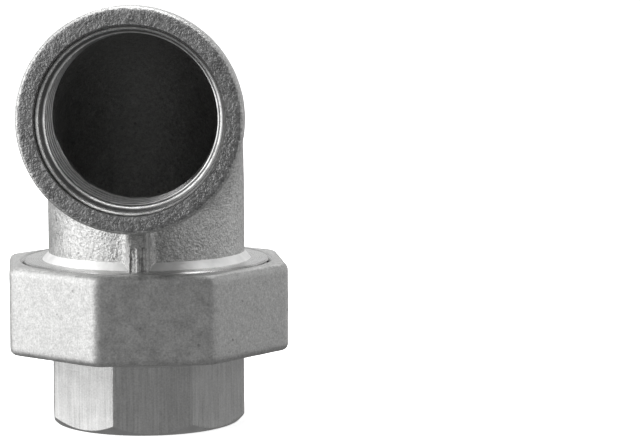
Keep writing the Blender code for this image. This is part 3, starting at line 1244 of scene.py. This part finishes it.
class UNION_OT_tailpiece(bpy.types.Operator):
    """Makes the tailpiece: milled octagon, turned end, shoulder, collar, seat and socket"""

    bl_idname = "union.tailpiece"
    bl_label = "Tailpiece"

    def execute(self, context):
        finishes = context.scene.union_finishes
        milled = finish_named("Milled steel", milled_steel, finishes.turned_colour)
        turned_finish = turned_upright()
        tail = octagonal_tail(milled, turned_finish)
        socket = threaded_plug(
            "tail socket",
            cut_thread(),
            radii=(PIPE_MAJOR_R, PIPE_MINOR_R),
            heights=(TAIL_MOUTH_CHAMFER, SOCKET_DEPTH),
            runs_out=(PIPE_MAJOR_R, PIPE_MAJOR_R),
            ends=(
                (-TAIL_MOUTH_CHAMFER, PIPE_MAJOR_R + 2 * TAIL_MOUTH_CHAMFER),
                (SOCKET_DEPTH + MOUTH_CHAMFER, WATERWAY_R - INSET),
            ),
        )
        waterway = turned(
            "tail waterway",
            turned_finish,
            (
                (WATERWAY_R, SOCKET_DEPTH + SHORT_REACH_PAST),
                (WATERWAY_R, TAIL_SEAT + REACH_PAST),
            ),
        )
        combine(tail, "DIFFERENCE", socket)
        combine(tail, "DIFFERENCE", waterway)
        finished(tail)
        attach(tail, "tail")
        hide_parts("tailpiece")
        return {"FINISHED"}


class UNION_OT_seat_gasket(bpy.types.Operator):
    """Makes the flat gasket between the two seats"""

    bl_idname = "union.seat_gasket"
    bl_label = "Seat gasket"

    def execute(self, context):
        finishes = context.scene.union_finishes
        plastic = finish_named("White gasket plastic", gasket_plastic, finishes.gasket_colour)
        edge = GASKET_EDGE
        low, high = GASKET_LOW.z + edge, GASKET_HIGH.z - edge
        bm = bmesh.new()
        rings = []
        for corner_r, corner_h, start in (
            (GASKET_OUTER_R - edge, low, -math.pi / 2),
            (GASKET_OUTER_R - edge, high, 0),
            (GASKET_INNER_R + edge, high, math.pi / 2),
            (GASKET_INNER_R + edge, low, math.pi),
        ):
            for step in range(GASKET_EDGE_STEPS + 1):
                turn = start + math.pi / 2 * step / GASKET_EDGE_STEPS
                radius = corner_r + edge * math.cos(turn)
                rings.append(circle(bm, radius, corner_h + edge * math.sin(turn)))
        for lower, upper in zip(rings, rings[1:] + rings[:1]):
            band(bm, lower, upper)
        gasket = finished(mesh_object("flat_gasket", bm, plastic))
        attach(gasket, "gasket")
        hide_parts("seat_gasket")
        return {"FINISHED"}


# -------- Stage


def dim_surround(scene, brightness):
    """Plain white surround, which only lifts the shadows."""
    world = bpy.data.worlds.new("Dim surround")
    world.use_nodes = True
    background = world.node_tree.nodes["Background"]
    background.inputs["Color"].default_value = (1, 1, 1, 1)
    background.inputs["Strength"].default_value = brightness
    scene.world = world
    scene.view_settings.view_transform = "Standard"


def pale_floor(colour, glow):
    """A round floor that curves up into a wall and leaves no light or shade on the fitting."""
    pale = bpy.data.materials.new("Pale floor")
    pale.use_nodes = True
    shader = pale.node_tree.nodes["Principled BSDF"]
    shader.inputs["Base Color"].default_value = (*colour, 1)
    shader.inputs["Roughness"].default_value = 0.9
    shader.inputs["Emission Color"].default_value = (1, 1, 1, 1)
    shader.inputs["Emission Strength"].default_value = glow
    profile = [(FLOOR_R, 0)]
    for step in range(1, FLOOR_CURVE_STEPS + 1):
        turn = math.pi / 2 * step / FLOOR_CURVE_STEPS
        rise = FLOOR_CURVE * (1 - math.cos(turn))
        profile.append((FLOOR_R + FLOOR_CURVE * math.sin(turn), rise))
    profile.append((FLOOR_R + FLOOR_CURVE, WALL_TOP))
    bm = bmesh.new()
    rings = [circle(bm, radius, height, FLOOR_SEGMENTS) for radius, height in profile]
    bm.faces.new(rings[0])
    for lower, upper in zip(rings, rings[1:]):
        band(bm, upper, lower)
    floor = mesh_object("Floor", bm, pale)
    floor.data.shade_smooth()
    floor.visible_glossy = False
    floor.visible_diffuse = False
    floor.visible_shadow = False


def soft_light(name, place, size, power):
    """An area light that looks at the middle of the fitting."""
    light = bpy.data.lights.new(name, "AREA")
    light.shape = "RECTANGLE"
    light.size, light.size_y = size
    light.energy = power
    made = linked_object(name, light)
    made.location = place
    towards = LIGHT_TARGET - made.location
    made.rotation_euler = towards.to_track_quat("-Z", "Y").to_euler()
    made.visible_camera = False


def front_camera(scene, lens):
    """The camera in front of the outlet, which looks slightly down."""
    camera = bpy.data.cameras.new("Camera")
    camera.lens = lens
    camera.sensor_width = CAMERA_SENSOR
    camera.clip_start, camera.clip_end = CAMERA_CLIP
    made = linked_object("Camera", camera)
    across = CAMERA_DISTANCE * math.sin(CAMERA_AZIMUTH)
    back = CAMERA_DISTANCE * math.cos(CAMERA_AZIMUTH)
    made.location = UNION_AXIS + Vector((across, -back, CAMERA_HEIGHT))
    made.rotation_euler = (CAMERA_TILT, 0, CAMERA_HEADING)
    scene.camera = made


class UNION_OT_studio(bpy.types.Operator):
    """Makes the pale floor, the soft lights and the camera"""

    bl_idname = "union.studio"
    bl_label = "Studio"

    def execute(self, context):
        scene, studio = context.scene, context.scene.union_studio
        dim_surround(scene, studio.surround)
        pale_floor(studio.floor_colour, studio.floor_glow)
        for name, place, size, power in LIGHTS:
            soft_light(name, place, size, getattr(studio, power))
        front_camera(scene, studio.lens)
        return {"FINISHED"}


class UNION_PT_pieces(bpy.types.Panel):
    """Lists the pieces and the studio"""

    bl_idname = "UNION_PT_pieces"
    bl_label = "Union elbow"
    bl_space_type = "VIEW_3D"
    bl_region_type = "UI"
    bl_category = "Union elbow"

    def draw(self, context):
        for maker in MAKERS:
            self.layout.operator(maker.bl_idname)
        for group in SETTINGS:
            box = self.layout.box()
            settings = getattr(context.scene, group)
            for name in settings.__annotations__:
                box.prop(settings, name)


MAKERS = (
    UNION_OT_elbow_body,
    UNION_OT_union_nut,
    UNION_OT_tailpiece,
    UNION_OT_seat_gasket,
    UNION_OT_studio,
)
SETTINGS = {"union_sizes": UnionSizes, "union_finishes": UnionFinishes, "union_studio": UnionStudio}


def register():
    """Adds the settings, the operators and the panel."""
    for item in (*SETTINGS.values(), *MAKERS, UNION_PT_pieces):
        bpy.utils.register_class(item)
    for name, group in SETTINGS.items():
        setattr(bpy.types.Scene, name, PointerProperty(type=group))


def unregister():
    """Takes the settings, the operators and the panel away again."""
    for name in SETTINGS:
        delattr(bpy.types.Scene, name)
    for item in reversed((*SETTINGS.values(), *MAKERS, UNION_PT_pieces)):
        bpy.utils.unregister_class(item)


def main():
    """Makes every piece and the studio."""
    register()
    bpy.ops.union.elbow_body()
    bpy.ops.union.union_nut()
    bpy.ops.union.tailpiece()
    bpy.ops.union.seat_gasket()
    bpy.ops.union.studio()


if __name__ == "__main__":
    main()
